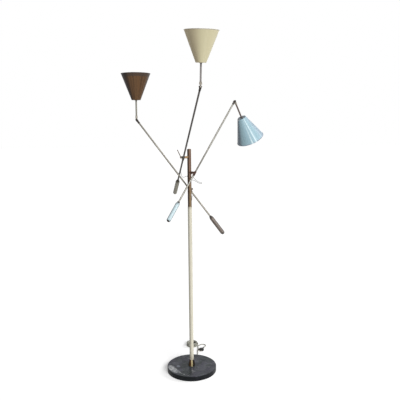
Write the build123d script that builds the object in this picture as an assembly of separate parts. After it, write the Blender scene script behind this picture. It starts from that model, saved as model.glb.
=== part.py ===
from build123d import *
from math import cos, pi, radians, sin, sqrt, tan
import os

os.makedirs("parts", exist_ok=True)

# Frame: millimetres, +Z up, origin at the middle of the base's underside.
# The front of the lamp looks along -Y. Azimuths are degrees from +X towards +Y.

# Base
BASE_R = 152
BASE_TOP = 31
FELT_R = 147
FELT_T = 2
RECESS_R = 25
RECESS_TOP = 14
GROOVE_W = 9
GROOVE_TOP = 10
LEAD_AZIMUTH = 80
EDGE_ROUND = 2.5
ROD_HOLE_R = 5.2

# Rod that holds the stem on the base
ROD_R = 5
ROD_BORE_R = 3.7
ROD_LOW = 8
ROD_TOP = 48
WASHER_R = 22
WASHER_T = 1.5
NUT_FLATS = 17
NUT_T = 4

# Stem
FERRULE_FOOT_R = 20.3
FERRULE_NECK_R = 14.6
FERRULE_H = 38
FERRULE_BAND_H = 2
FERRULE_SWELL = (18.9, 14)
IVORY_R = 12.5
IVORY_BORE_R = 11.75
IVORY_LOW = 50
IVORY_TOP = 1035
BRASS_R = 11.7
BRASS_BORE_R = 10.6
BRASS_LOW = 975
BRASS_TOP = 1374
CAP_TOP = 1379
CAP_LIP = 0.6
CAP_EDGE_H = 1.5
SPIGOT_L = 12

# Side brackets, measured out from the stem's axis
SADDLE_R = 7.5
SADDLE_FACE = 14.5
NECK_R = 6.6
SHOULDER_R = 7.5
TENON_R = 3.95
TENON_START = 8.2
PIN_R = 3
PIN_FIT = 0.05
SHOULDER = 29
PIN_END = 56
WASHER_RING_R = 7.2
WASHER_FACE = 30.15
CLAMP_NEAR = 30.5
CLAMP_FAR = 45.5
ARM_OUT = 38
LEVER_NEAR = 46
LEVER_FAR = 54.5
LEVER_NUT_R = 6.5
LEVER_ROOT = 5
LEVER_THICK_R = 2.8
LEVER_THIN_R = 2.4
LEVER_BALL_R = 3.3
LEVER_LEAN = 25
LEVER_LENGTH = 46

# Arms: the tube runs under the pin by this much
TUBE_DROP = 9
TUBE_R = 5
TUBE_BORE_R = 4
SLIP = 0.05
ARM_UP = 538.5
ARM_DOWN = 330
WEIGHT_R = 12.2
WEIGHT_L = 118
COLLAR_R = 8.4
COLLAR_L = 9
END_NUT_R = 8.4
END_NUT_L = 7
CLAMP_R = 7.5
CLAMP_SLEEVE_R = 7
CLAMP_SLEEVE_HALF = 15

# Head knuckle, measured from its hinge
EYE_R = 5.6
TONGUE_T = 4
EAR_GAP = 2.3
EAR_OUT = 4.8
SOCKET_START = 10
SOCKET_R = 6.2
TONGUE_HALF_WIDTHS = (8.5, 6.5)
FORK_END = 28
TUBE_STOP = 12
TONGUE_END = 25
SCREW_R = 1.98
SCREW_HEAD_R = 3.6
SCREW_HEAD_END = 7.6
SCREW_NUT_R = 4.6
SCREW_NUT_END = 9.5

# Shade, measured from the knuckle's hinge along the shade's axis
SHADE_LOW = 117
SHADE_HIGH = 273.5
SHADE_SMALL_R = 27.5
SHADE_RIM_R = 87.3
SHADE_WALL = 1.1
BEAD_R = 1.3
ROD_SHOULDER_R = 7.5
ROD_TIP = 129
HOLDER_R = 19
HOLDER_TOP = 166
HOLDER_BORE_R = 14.1
HOLDER_FLOOR = 138
BULB_LOW = 139
BULB_CONTACT_R = 9
BULB_CAP_R = 13.3
BULB_CAP_LOW = 143
BULB_CAP_TOP = 168
BULB_NECK_R = 15.2
BULB_NECK = 173
BULB_MID = 211
BULB_R = 30
GLASS_T = 1

# Name, bracket azimuth, pin height, arm tilt from upright, shade tilt from upright
ARMS = [
    ("upper", 195, 1329.5, 44.3, 5.5),
    ("middle", 309.7, 1240, 37.9, 149.3),
    ("lower", 73.5, 1134.5, 38.4, -0.4),
]
# The way each lever points at rest, in degrees about its bracket from upright
LEVER_TURN = {"upper": 0, "middle": 90, "lower": -80}

# Short wires from the stem to the arms
WIRE_R = 1.2
BUSH_R = 3.2
BUSH_START = 8.6
BUSH_FACE = 13.2
WIRE_STRAIGHT = 9.5
# Azimuth and height of the bush where each wire leaves the stem
BUSHES = {"upper": (165, 1217), "middle": (-8, 1194), "lower": (62, 1065)}
# Where each wire enters its arm: distance along the tube, and angle round it
WIRE_ENTRY = {"upper": (-103, 90), "middle": (-23, 90), "lower": (-36, 110)}
# The points of each route between its two straight ends
WIRE_ROUTES = {
    "upper": [(-31, 10, 1210), (-41, 20, 1209), (-47.5, 31, 1220), (-49.5, 39, 1230)],
    "middle": [(33, -3, 1189), (47, -4, 1180), (61, -8, 1173), (73, -15, 1174),
               (72, -26, 1181), (57, -31, 1184), (42, -29, 1193)],
    "lower": [(13.3, 26.4, 1072.9), (13.3, 29.4, 1082.8)],
}
STEM_WIRE_R = 1.6
STEM_WIRE_TOP = 1300

# Mains lead
LEAD_R = 3
LEAD_Z = 6
SLEEVE_L = 22
COIL_X = 4
COIL_Y = 352
COIL_R = 39
COIL_PITCH = 6.7
COIL_LAYERS = 4
TURNS_PER_LAYER = 2
COIL_TURNS = 7.75
PLUG_X = 81
PLUG_Y = 299
PLUG_AZIMUTH = 240.6
PLUG_Z = 7.5
PLUG_T = 14.6
PLUG_W = 35
PLUG_L = 42
PLUG_PIN_R = 2
PLUG_PIN_END = 61
PLUG_PIN_OFFSET = 9.5
# The lead's points between its straight ends, from the base to the coil and from the coil to the plug
BASE_ROUTE = [(39, 206, 3.2), (41.5, 232, 3), (38.5, 259, 3), (44.5, 287, 3)]
PLUG_ROUTE = [(42, 318, 17), (51, 331, 8), (54, 348, 3), (66, 362.5, 3), (84, 363.5, 3), (97, 351, 3),
              (97.5, 332, 3.5)]


def save(name, shape):
    export_step(shape, f"parts/{name}.step")


def radial(azimuth):
    return Vector(cos(radians(azimuth)), sin(radians(azimuth)), 0)


def turned(points):
    """A solid of revolution about Z from its outline of radius, height points."""
    return revolve(Plane.XZ * make_face(Polyline(*points, close=True)), Axis.Z)


def ring(outer, inner, low, high):
    return turned([(inner, low), (outer, low), (outer, high), (inner, high)])


def rod(radius, low, high):
    return turned([(0, low), (radius, low), (radius, high), (0, high)])


def bracket_frame(azimuth, height):
    """Z runs out along the bracket, X points up."""
    return Plane(origin=(0, 0, height), x_dir=(0, 0, 1), z_dir=radial(azimuth))


def tilted_frame(origin, azimuth, tilt):
    """X runs out along the bracket, Z leans from upright by the tilt."""
    lean = radial(azimuth + 90) * sin(radians(tilt)) + Vector(0, 0, cos(radians(tilt)))
    return Plane(origin=origin, x_dir=radial(azimuth), z_dir=lean)


def arm_frame(azimuth, height, tilt):
    """Origin on the arm tube's axis, beside the pin."""
    outward = radial(azimuth + 90) * cos(radians(tilt)) - Vector(0, 0, sin(radians(tilt)))
    origin = radial(azimuth) * ARM_OUT + Vector(0, 0, height) + outward * TUBE_DROP
    return tilted_frame(origin, azimuth, tilt)


def head_frame(azimuth, height, tilt, shade_tilt):
    arm = arm_frame(azimuth, height, tilt)
    hinge = arm.origin + arm.z_dir * ARM_UP
    return tilted_frame(hinge, azimuth, shade_tilt)


# Base and what holds the stem on it
def base_slab():
    slab = ring(BASE_R, ROD_HOLE_R, FELT_T, BASE_TOP)
    rim = slab.edges().filter_by(GeomType.CIRCLE).filter_by(lambda e: e.radius > BASE_R - 1)
    slab = fillet(rim.sort_by(Axis.Z)[-1], EDGE_ROUND)
    slab -= rod(RECESS_R, FELT_T, RECESS_TOP)
    along = Rot(0, 0, LEAD_AZIMUTH)
    middle_z = (FELT_T + GROOVE_TOP) / 2
    return slab - along * Pos(BASE_R / 2, 0, middle_z) * Box(BASE_R + 2, GROOVE_W, GROOVE_TOP - FELT_T)


def base_nut():
    top = RECESS_TOP - WASHER_T
    across = RegularPolygon(NUT_FLATS / 2, 6, major_radius=False)
    nut = Pos(0, 0, top - NUT_T) * extrude(across, NUT_T)
    return nut - rod(ROD_R + SLIP, 0, BASE_TOP)


def foot_ferrule():
    low, high = BASE_TOP, BASE_TOP + FERRULE_H
    foot, neck = low + FERRULE_BAND_H, high - FERRULE_BAND_H
    swell_r, swell_h = FERRULE_SWELL
    outline = [
        Line((ROD_R + SLIP, low), (FERRULE_FOOT_R, low)),
        Line((FERRULE_FOOT_R, low), (FERRULE_FOOT_R, foot)),
        ThreePointArc((FERRULE_FOOT_R, foot), (swell_r, low + swell_h), (FERRULE_NECK_R, neck)),
        Line((FERRULE_NECK_R, neck), (FERRULE_NECK_R, high)),
        Line((FERRULE_NECK_R, high), (IVORY_R + SLIP, high)),
        Line((IVORY_R + SLIP, high), (IVORY_R + SLIP, IVORY_LOW)),
        Line((IVORY_R + SLIP, IVORY_LOW), (ROD_R + SLIP, IVORY_LOW)),
        Line((ROD_R + SLIP, IVORY_LOW), (ROD_R + SLIP, low)),
    ]
    return revolve(Plane.XZ * make_face(outline), Axis.Z)


def lead_bush():
    """A block in the groove with a tapered sleeve outside the base."""
    gap = 0.2
    length = 12
    block = Pos(BASE_R - length / 2, 0, LEAD_Z) * Box(length, GROOVE_W - gap, GROOVE_TOP - FELT_T - gap)
    sleeve = turned([(0, 0), (4.9, 0), (4.4, 6), (3.9, SLEEVE_L), (0, SLEEVE_L)])
    bush = block + Plane(origin=(BASE_R, 0, LEAD_Z), z_dir=(1, 0, 0)) * sleeve
    inner_end = Plane(origin=(BASE_R - length - 2, 0, LEAD_Z), z_dir=(1, 0, 0))
    bush -= inner_end * rod(STEM_WIRE_R + 0.15, 0, length + SLEEVE_L - 4)
    return Rot(0, 0, LEAD_AZIMUTH) * bush


def stem_wire():
    """The wire from the lead's bush, along the groove and up inside the stem."""
    start = radial(LEAD_AZIMUTH) * (BASE_R - 13) + Vector(0, 0, LEAD_Z)
    under_stem = (0, 0, FELT_T + STEM_WIRE_R + 0.6)
    path = FilletPolyline(start, under_stem, (0, 0, STEM_WIRE_TOP), radius=7)
    return sweep(Plane(origin=start, z_dir=path % 0) * Circle(STEM_WIRE_R), path=path)


# Stem
def stem_cap():
    """Spigot in the tube under a dome that is part of a sphere."""
    edge, spigot = BRASS_R + CAP_LIP, BRASS_BORE_R - SLIP
    low, rise = BRASS_TOP - SPIGOT_L, CAP_TOP - BRASS_TOP - CAP_EDGE_H
    sphere = (edge**2 + rise**2) / (2 * rise)
    middle = CAP_TOP - sphere + sqrt(sphere**2 - (edge / 2) ** 2)
    dome = [
        Line((0, low), (spigot, low)),
        Line((spigot, low), (spigot, BRASS_TOP)),
        Line((spigot, BRASS_TOP), (edge, BRASS_TOP)),
        Line((edge, BRASS_TOP), (edge, BRASS_TOP + CAP_EDGE_H)),
        ThreePointArc((edge, BRASS_TOP + CAP_EDGE_H), (edge / 2, middle), (0, CAP_TOP)),
        Line((0, CAP_TOP), (0, low)),
    ]
    return revolve(Plane.XZ * make_face(dome), Axis.Z)


def brass_tube(bracket_frames, bush_frames):
    tube = ring(BRASS_R, BRASS_BORE_R, BRASS_LOW, BRASS_TOP)
    for frame in bracket_frames:
        tube -= frame * rod(TENON_R + SLIP, 0, BUSH_FACE)
    for frame in bush_frames:
        tube -= frame * rod(WIRE_R + 0.9, 0, BUSH_FACE)
    return tube


def bracket():
    """One bracket along Z: tenon, saddle on the stem, neck, shoulder and pin."""
    turning = turned([
        (0, TENON_START), (SADDLE_R, TENON_START), (SADDLE_R, SADDLE_FACE), (NECK_R, SADDLE_FACE + 3),
        (NECK_R, SHOULDER - 4.5), (SHOULDER_R, SHOULDER - 2),
        (SHOULDER_R, SHOULDER), (PIN_R, SHOULDER), (PIN_R, PIN_END - 0.8), (PIN_R - 0.8, PIN_END),
        (0, PIN_END),
    ])
    around_stem = Rot(0, 90, 0) * Cylinder(BRASS_R + SLIP, 40)
    return turning - around_stem + rod(TENON_R, TENON_START, BUSH_FACE)


def lever():
    """Nut on the bracket's end with a thin arm that leans outwards."""
    bore = PIN_R + PIN_FIT
    nut = turned([
        (bore, LEVER_NEAR), (LEVER_NUT_R, LEVER_NEAR), (LEVER_NUT_R, LEVER_FAR - 1.5),
        (LEVER_NUT_R - 1.5, LEVER_FAR), (bore, LEVER_FAR),
    ])
    middle = (LEVER_NEAR + LEVER_FAR) / 2
    arm = turned([
        (0, LEVER_ROOT), (LEVER_THICK_R, LEVER_ROOT), (LEVER_THIN_R, LEVER_LENGTH), (0, LEVER_LENGTH),
    ])
    arm += Pos(0, 0, LEVER_LENGTH) * Sphere(LEVER_BALL_R)
    return nut + Pos(0, 0, middle) * Rot(0, 90 - LEVER_LEAN, 0) * arm


# Arms, drawn along Z with X out along the bracket
def arm_clamp():
    """Block that turns on the pin and holds the arm tube under it."""
    near, far = CLAMP_NEAR - ARM_OUT, CLAMP_FAR - ARM_OUT
    half, thick = CLAMP_SLEEVE_HALF, CLAMP_SLEEVE_R
    across = Plane(origin=(near, -TUBE_DROP, 0), z_dir=(1, 0, 0))
    block = across * rod(CLAMP_R, 0, far - near)
    block += turned([
        (0, -half), (thick - 0.9, -half), (thick, 2 - half), (thick, half - 2), (thick - 0.9, half), (0, half),
    ])
    block -= across * rod(PIN_R + PIN_FIT, -1, far - near + 1)
    return block - rod(TUBE_R + SLIP, -half - 1, half + 1)


def arm_tube(wire_hole):
    tube = ring(TUBE_R, TUBE_BORE_R, 3 - ARM_DOWN, ARM_UP - TUBE_STOP - 0.5)
    return tube - wire_hole * rod(WIRE_R + 0.3, 0, 6)


def weight():
    low = END_NUT_L - ARM_DOWN
    high = low + WEIGHT_L
    bore = TUBE_R + SLIP
    return turned([
        (bore, low), (WEIGHT_R - 1.5, low), (WEIGHT_R, low + 1.5), (WEIGHT_R, high - 6),
        (WEIGHT_R - 2, high), (bore, high),
    ])


def weight_collar():
    low = END_NUT_L - ARM_DOWN + WEIGHT_L
    bore = TUBE_R + SLIP
    return turned([
        (bore, low), (COLLAR_R, low), (COLLAR_R, low + 5), (COLLAR_R - 1.6, low + COLLAR_L),
        (bore, low + COLLAR_L),
    ])


def weight_nut():
    low = -ARM_DOWN
    top = low + END_NUT_L
    bore = TUBE_R + SLIP
    return turned([
        (0, low), (END_NUT_R - 3, low), (END_NUT_R, low + 2.5), (END_NUT_R, top), (bore, top),
        (bore, low + 3), (0, low + 3),
    ])


def head_fork():
    """Two tapering ears on a socket at the arm's end."""
    ear = make_hull(
        (Pos(0, -SOCKET_START) * Rectangle(2 * SOCKET_R, 0.6)).edges() + Circle(EYE_R).edges()
    )
    ears = Plane.YZ * extrude(ear, EAR_OUT, both=True)
    ears -= Pos(0, 0, EYE_R) * Box(2 * EAR_GAP, 30, 2 * (EYE_R + SOCKET_START))
    socket = turned([
        (0, -FORK_END), (SOCKET_R - 1, -FORK_END), (SOCKET_R, 2 - FORK_END), (SOCKET_R, -SOCKET_START),
        (0, -SOCKET_START),
    ])
    fork = ears + socket
    fork -= rod(TUBE_R + SLIP, -FORK_END - 1, -TUBE_STOP)
    fork -= Plane.YZ * Cylinder(SCREW_R + 0.02, 30)
    return Pos(0, 0, ARM_UP) * fork


def knuckle_screw():
    face, head, nut = EAR_OUT + SLIP, SCREW_HEAD_R, SCREW_NUT_R
    screw = turned([
        (0, -SCREW_HEAD_END), (head - 0.6, -SCREW_HEAD_END), (head, 0.6 - SCREW_HEAD_END), (head, -face),
        (SCREW_R, -face), (SCREW_R, face), (nut, face), (nut, SCREW_NUT_END - 1),
        (nut - 1, SCREW_NUT_END), (0, SCREW_NUT_END),
    ])
    return Pos(0, 0, ARM_UP) * (Plane.YZ * screw)


# Heads, drawn along Z from the knuckle's hinge
def head_tongue():
    """Eye between the fork's ears, on a socket that is widest across the pin."""
    eye = Plane.YZ * Cylinder(EYE_R, TONGUE_T)
    neck = Pos(0, 0, SOCKET_START / 2) * Box(TONGUE_T, 2 * EYE_R - 1, SOCKET_START)
    wide, narrow = TONGUE_HALF_WIDTHS
    start = Pos(0, 0, SOCKET_START) * Ellipse(wide, SOCKET_R)
    end = Pos(0, 0, TONGUE_END) * Ellipse(narrow, SOCKET_R)
    tongue = eye + neck + loft([start, end], ruled=True)
    tongue -= rod(TUBE_R + SLIP, TUBE_STOP, TONGUE_END + 1)
    return tongue - Plane.YZ * Cylinder(SCREW_R + 0.06, 30)


def shade_rod():
    start, shoulder, face = TUBE_STOP + 0.1, SHADE_LOW - 3.6, SHADE_LOW - SLIP
    return turned([
        (TUBE_BORE_R, start), (TUBE_R, start), (TUBE_R, shoulder), (ROD_SHOULDER_R, shoulder + 1),
        (ROD_SHOULDER_R, face), (TUBE_R, face), (TUBE_R, ROD_TIP), (TUBE_BORE_R, ROD_TIP),
    ])


def shade():
    """Spun cone with a flat small end and a rolled bead at the rim."""
    small, rim, wall = SHADE_SMALL_R, SHADE_RIM_R, SHADE_WALL
    hole, low, high = TUBE_R + 0.3, SHADE_LOW, SHADE_HIGH - BEAD_R
    outline = Polyline(
        (hole, low), (small - 1.5, low), (small, low + 1.5), (rim, high), (rim - wall, high),
        (small - wall, low + 2 * wall), (small - 2 * wall, low + wall), (hole, low + wall), close=True,
    )
    profile = make_face(outline) + Pos(rim - 0.1, high) * Circle(BEAD_R)
    return revolve(Plane.XZ * profile, Axis.Z)


def lampholder():
    """Cup on the rod's end, with a hole for the wires through its floor."""
    low, bore, tip = SHADE_LOW + SHADE_WALL + SLIP, TUBE_R + SLIP, ROD_TIP + SLIP
    return turned([
        (bore, low), (HOLDER_R - 6, low), (HOLDER_R - 2, low + 6), (HOLDER_R, low + 12),
        (HOLDER_R, HOLDER_TOP - 1), (HOLDER_R - 1, HOLDER_TOP), (HOLDER_BORE_R, HOLDER_TOP),
        (HOLDER_BORE_R, HOLDER_FLOOR), (STEM_WIRE_R, HOLDER_FLOOR), (STEM_WIRE_R, tip), (bore, tip),
    ])


def bulb_outline(inset, low):
    """Half outline of the bulb, drawn in by the inset and closed along the axis."""
    cheek = radians(35)
    globe, contact = BULB_R - inset, BULB_CONTACT_R - inset
    cap, neck = BULB_CAP_R - inset, BULB_NECK_R - inset
    side = (globe * cos(cheek), BULB_MID - globe * sin(cheek))
    return make_face([
        Line((0, low), (contact, low)),
        Line((contact, low), (cap, BULB_CAP_LOW)),
        Line((cap, BULB_CAP_LOW), (cap, BULB_CAP_TOP)),
        Line((cap, BULB_CAP_TOP), (neck, BULB_NECK)),
        Line((neck, BULB_NECK), side),
        ThreePointArc(side, (globe, BULB_MID), (0, BULB_MID + globe)),
        Line((0, BULB_MID + globe), (0, low)),
    ])


def bulb():
    """Thin shell, open at the contact's end."""
    shell = bulb_outline(0, BULB_LOW) - bulb_outline(GLASS_T, BULB_LOW - 1)
    return revolve(Plane.XZ * shell, Axis.Z)


# Wires: straight runs joined by arcs as large as the runs allow
def routed(name, points, radius, least):
    """Tube along the route, with each arc's radius and the volume's check printed."""
    points = [Vector(*p) for p in points]
    runs = [b - a for a, b in zip(points, points[1:])]
    bends = []
    for run, following in zip(runs, runs[1:]):
        half_turn = radians(run.get_angle(following)) / 2
        bends.append(0.45 * min(run.length, following.length) / tan(half_turn))
    path = FilletPolyline(*points, radius=bends)
    tube = sweep(Plane(origin=points[0], z_dir=runs[0]) * Circle(radius), path=path)
    expected = pi * radius**2 * path.length
    print(name, "length", round(path.length, 1), "radii", [round(b, 1) for b in bends],
          "least allowed", round(least, 1), "volume ratio", round(tube.volume / expected, 4))
    return tube


def bush_frame(azimuth, height):
    return Plane(origin=(0, 0, height), z_dir=radial(azimuth))


def stem_bush():
    bore, outside = WIRE_R + 0.1, BRASS_R + 0.15
    return ring(WIRE_R + 0.75, bore, BUSH_START, outside + SLIP) + ring(BUSH_R, bore, outside, BUSH_FACE)


def wire_entry_frame(name):
    """In the arm's own frame: origin on the tube's axis, Z out through the hole."""
    along, angle = WIRE_ENTRY[name]
    return Plane(origin=(0, 0, along), x_dir=(0, 0, 1), z_dir=radial(angle))


def jumper_wire(name, arm):
    azimuth, height = BUSHES[name]
    bush = Vector(0, 0, height)
    start = bush + radial(azimuth) * BUSH_FACE
    second = bush + radial(azimuth) * (BUSH_FACE + WIRE_STRAIGHT)
    entry = Plane(arm * wire_entry_frame(name))
    end = entry.origin + entry.z_dir * (TUBE_R - 0.2)
    before = end + entry.z_dir * WIRE_STRAIGHT
    route = [start, second] + [Vector(*p) for p in WIRE_ROUTES[name]] + [before, end]
    return routed(f"jumper_wire_{name}", route, WIRE_R, 6 * WIRE_R)


# Mains lead
def coil_point(turns):
    """Point of the coil after this many turns: in and out again, up a layer at each reversal."""
    layer = turns / TURNS_PER_LAYER
    inwards = layer % 2 if layer % 2 < 1 else 2 - layer % 2
    radius = COIL_R - COIL_PITCH * TURNS_PER_LAYER * inwards
    nearest = round(layer)
    reversal = (turns - nearest * TURNS_PER_LAYER) / 0.5
    if nearest in (0, COIL_LAYERS):
        climbed = 0 if nearest == 0 else COIL_LAYERS - 1
    elif reversal < -0.5:
        climbed = nearest - 1
    elif reversal > 0.5:
        climbed = nearest
    else:
        climbed = nearest - 0.5 + reversal
    angle = 2 * pi * turns
    return Vector(
        COIL_X + radius * cos(angle), COIL_Y + radius * sin(angle), LEAD_R + COIL_PITCH * climbed
    )


def coil_tangent(turns):
    step = 0.02
    return (coil_point(turns + step) - coil_point(turns - step)).normalized()


def biarc(start, leaving, end, arriving):
    """Two arcs that share a tangent where they meet."""
    chord = end - start
    both = leaving + arriving
    spread = 2 * (1 - leaving.dot(arriving))
    along = chord.dot(both)
    reach = (sqrt(along**2 + spread * chord.dot(chord)) - along) / spread
    near, far = start + leaving * reach, end - arriving * reach
    middle = (near + far) / 2
    return [
        TangentArc(start, middle, tangent=leaving),
        TangentArc(middle, end, tangent=far - near),
    ]


def coil_path():
    first, last = Vector(0, 1, 0), Vector(1, 0, 0)
    stations = [i / 4 for i in range(int(COIL_TURNS * 4) + 1)]
    tangents = [first] + [coil_tangent(t) for t in stations[1:-1]] + [last]
    start, end = coil_point(0), coil_point(COIL_TURNS)
    edges = [Line(start - first * 2 * LEAD_R, start)]
    for i in range(len(stations) - 1):
        edges += biarc(coil_point(stations[i]), tangents[i], coil_point(stations[i + 1]), tangents[i + 1])
    edges.append(Line(end, end + last * 2 * LEAD_R))
    return Wire(edges)


def coil_gap(path):
    """Least gap between parts of the coil that are more than a third of a turn apart."""
    count = int(path.length / 2)
    points = [path @ (i / count) for i in range(count + 1)]
    apart = int(COIL_R * 2 / 2)
    closest = min(
        (points[i] - points[j]).length
        for i in range(len(points))
        for j in range(i + apart, len(points))
    )
    return closest - 2 * LEAD_R


def cord_coil():
    path = coil_path()
    tube = sweep(Plane(origin=path @ 0, z_dir=(0, 1, 0)) * Circle(LEAD_R), path=path)
    expected = pi * LEAD_R**2 * path.length
    print("cord_coil length", round(path.length, 1), "gap", round(coil_gap(path), 2),
          "volume ratio", round(tube.volume / expected, 4))
    return tube


def mains_cord():
    """From the base's bush to the coil, and from the coil to the plug."""
    straight = 16
    outwards = radial(LEAD_AZIMUTH)
    leave = outwards * (BASE_R + SLEEVE_L) + Vector(0, 0, LEAD_Z)
    start = coil_point(0) - Vector(0, 2 * LEAD_R, 0)
    base_end = [leave, leave + outwards * straight] + BASE_ROUTE + [start - Vector(0, 29, 0), start]
    end = coil_point(COIL_TURNS) + Vector(2 * LEAD_R, 0, 0)
    plug = Vector(PLUG_X, PLUG_Y, PLUG_Z)
    before_plug = plug - radial(PLUG_AZIMUTH) * straight
    plug_end = [end, end + Vector(straight, 0, 0)] + PLUG_ROUTE + [before_plug, plug]
    return Compound(children=[
        routed("mains_cord at the base", base_end, LEAD_R, 10 * LEAD_R),
        routed("mains_cord at the plug", plug_end, LEAD_R, 6 * LEAD_R),
    ])


def plug_frame():
    """Z runs from the cord's end out along the pins, X points up."""
    return Plane(origin=(PLUG_X, PLUG_Y, PLUG_Z), x_dir=(0, 0, 1), z_dir=radial(PLUG_AZIMUTH))


def plug_body():
    relief = turned([(0, 0), (3.8, 0), (4.8, 14), (0, 14)])
    tail = Pos(0, 0, 12) * RectangleRounded(11, 13, 4)
    shoulder = Pos(0, 0, 24) * RectangleRounded(PLUG_T, PLUG_W - 2, 6)
    face = Pos(0, 0, PLUG_L) * RectangleRounded(PLUG_T, PLUG_W, 6)
    return relief + loft([tail, shoulder], ruled=True) + loft([shoulder, face], ruled=True)


def plug_pins():
    root, end, thick = PLUG_L + SLIP, PLUG_PIN_END, PLUG_PIN_R
    pin = turned([(0, root), (thick, root), (thick, end - 1), (thick - 0.8, end), (0, end)])
    return Compound(children=[Pos(0, side * PLUG_PIN_OFFSET, 0) * pin for side in (-1, 1)])


def build_stand():
    bush_frames = [bush_frame(*BUSHES[arm[0]]) for arm in ARMS]
    bracket_frames = [bracket_frame(arm[1], arm[2]) for arm in ARMS]
    washer = ring(WASHER_RING_R, PIN_R + 0.1, SHOULDER + 0.15, WASHER_FACE)
    save("base_slab", base_slab())
    save("base_felt", rod(FELT_R, 0, FELT_T))
    save("base_washer", ring(WASHER_R, ROD_HOLE_R, RECESS_TOP - WASHER_T, RECESS_TOP))
    save("base_nut", base_nut())
    save("tie_rod", ring(ROD_R, ROD_BORE_R, ROD_LOW, ROD_TOP))
    save("foot_ferrule", foot_ferrule())
    save("stem_tube_lower", ring(IVORY_R, IVORY_BORE_R, IVORY_LOW + 0.05, IVORY_TOP))
    save("stem_tube_upper", brass_tube(bracket_frames, bush_frames))
    save("stem_cap", stem_cap())
    save("stem_wire", stem_wire())
    save("arm_brackets", Compound(children=[f * bracket() for f in bracket_frames]))
    save("friction_washers", Compound(children=[f * washer for f in bracket_frames]))
    save("stem_bushes", Compound(children=[f * stem_bush() for f in bush_frames]))


def build_arm(name, azimuth, height, tilt, shade_tilt):
    arm = arm_frame(azimuth, height, tilt)
    head = head_frame(azimuth, height, tilt, shade_tilt)
    turn = Rot(0, 0, LEVER_TURN[name])
    save(f"lever_{name}", bracket_frame(azimuth, height) * (turn * lever()))
    save(f"arm_clamp_{name}", arm * arm_clamp())
    save(f"arm_tube_{name}", arm * arm_tube(wire_entry_frame(name)))
    save(f"counterweight_{name}", arm * weight())
    save(f"weight_collar_{name}", arm * weight_collar())
    save(f"weight_nut_{name}", arm * weight_nut())
    save(f"head_fork_{name}", arm * head_fork())
    save(f"knuckle_screw_{name}", arm * knuckle_screw())
    save(f"head_tongue_{name}", head * head_tongue())
    save(f"shade_rod_{name}", head * shade_rod())
    save(f"shade_{name}", head * shade())
    save(f"lampholder_{name}", head * lampholder())
    save(f"bulb_{name}", head * bulb())
    save(f"jumper_wire_{name}", jumper_wire(name, arm))


def build_lead():
    save("cord_gland", lead_bush())
    save("mains_cord", mains_cord())
    save("cord_coil", cord_coil())
    save("plug_body", plug_frame() * plug_body())
    save("plug_pins", plug_frame() * plug_pins())


build_stand()
build_lead()
for arm_values in ARMS:
    build_arm(*arm_values)
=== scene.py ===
# %% [markdown]
# # A floor lamp with three arms
# The lamp has a round marble foot, a thin stem in two finishes, and three arms that tilt on side
# brackets. Each arm carries a cone-shaped shade at its upper end and a painted weight at its lower end.
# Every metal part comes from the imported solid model, which loads first and never moves. This lesson
# adds what that model can't say: the finishes, the soft leads, and small turned and knurled pieces.

from math import cos, pi, radians, sin

import bmesh
import bpy
from mathutils import Euler, Matrix, Vector


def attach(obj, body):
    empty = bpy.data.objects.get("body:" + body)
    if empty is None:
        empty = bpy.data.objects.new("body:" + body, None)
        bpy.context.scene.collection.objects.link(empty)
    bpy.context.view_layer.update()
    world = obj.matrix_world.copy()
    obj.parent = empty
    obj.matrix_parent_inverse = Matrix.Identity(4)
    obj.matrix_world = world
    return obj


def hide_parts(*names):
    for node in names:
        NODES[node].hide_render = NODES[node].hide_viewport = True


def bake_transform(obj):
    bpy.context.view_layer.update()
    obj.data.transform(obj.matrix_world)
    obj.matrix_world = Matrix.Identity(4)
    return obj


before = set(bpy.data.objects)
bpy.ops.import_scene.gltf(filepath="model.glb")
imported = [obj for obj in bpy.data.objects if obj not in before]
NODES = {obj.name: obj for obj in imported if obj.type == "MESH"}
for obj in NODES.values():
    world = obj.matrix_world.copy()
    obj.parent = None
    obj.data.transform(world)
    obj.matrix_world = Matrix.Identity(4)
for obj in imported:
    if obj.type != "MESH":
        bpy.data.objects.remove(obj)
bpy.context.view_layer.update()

# %% [markdown]
# The photograph was taken from the front at about chest height, with the camera tipped slightly down.
# Its place could be guessed by eye, but here it was worked out once from about forty points that
# can be seen both on the lamp and in the picture, so outlines fall within a pixel of the real ones.

# %% Camera
SENSOR = 36
camera_data = bpy.data.cameras.new("camera")
camera_data.sensor_width = SENSOR
camera_data.lens = 46.158
camera = bpy.data.objects.new("camera", camera_data)
camera.location = (0.00498, -3.02215, 1.52578)
camera.rotation_euler = Euler((radians(81.4973), radians(0.53826), radians(-1.14685)))
bpy.context.scene.collection.objects.link(camera)
bpy.context.scene.camera = camera
print("camera", round(camera_data.lens, 1), "mm lens at", [round(v, 2) for v in camera.location])

# %% [markdown]
# The three arms are alike and differ only in where they sit and how they lean. Each has a frame of
# its own: X points out along the bracket's pin, Z runs up along the arm, and a second frame of the
# same kind starts at the knuckle and runs along the shade. With these, one set of outlines serves
# all three arms.

# %% Frames of the arms and heads
UP = Vector((0, 0, 1))
ARM_OUT, TUBE_DROP, ARM_UP = 0.038, 0.009, 0.5385
# Azimuth of the bracket, height of the pin, tilt of the arm and of the shade
ARMS = {
    "upper": (195, 1.3295, 44.3, 5.5),
    "middle": (309.7, 1.240, 37.9, 149.3),
    "lower": (73.5, 1.1345, 38.4, -0.4),
}


def radial(azimuth):
    return Vector((cos(radians(azimuth)), sin(radians(azimuth)), 0))


def tilted(origin, azimuth, tilt):
    along = radial(azimuth + 90) * sin(radians(tilt)) + UP * cos(radians(tilt))
    out = radial(azimuth)
    turn = Matrix((out, along.cross(out), along)).transposed()
    return Matrix.Translation(origin) @ turn.to_4x4()


def arm_frame(azimuth, height, tilt):
    down = radial(azimuth + 90) * cos(radians(tilt)) - UP * sin(radians(tilt))
    return tilted(radial(azimuth) * ARM_OUT + UP * height + down * TUBE_DROP, azimuth, tilt)


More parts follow.
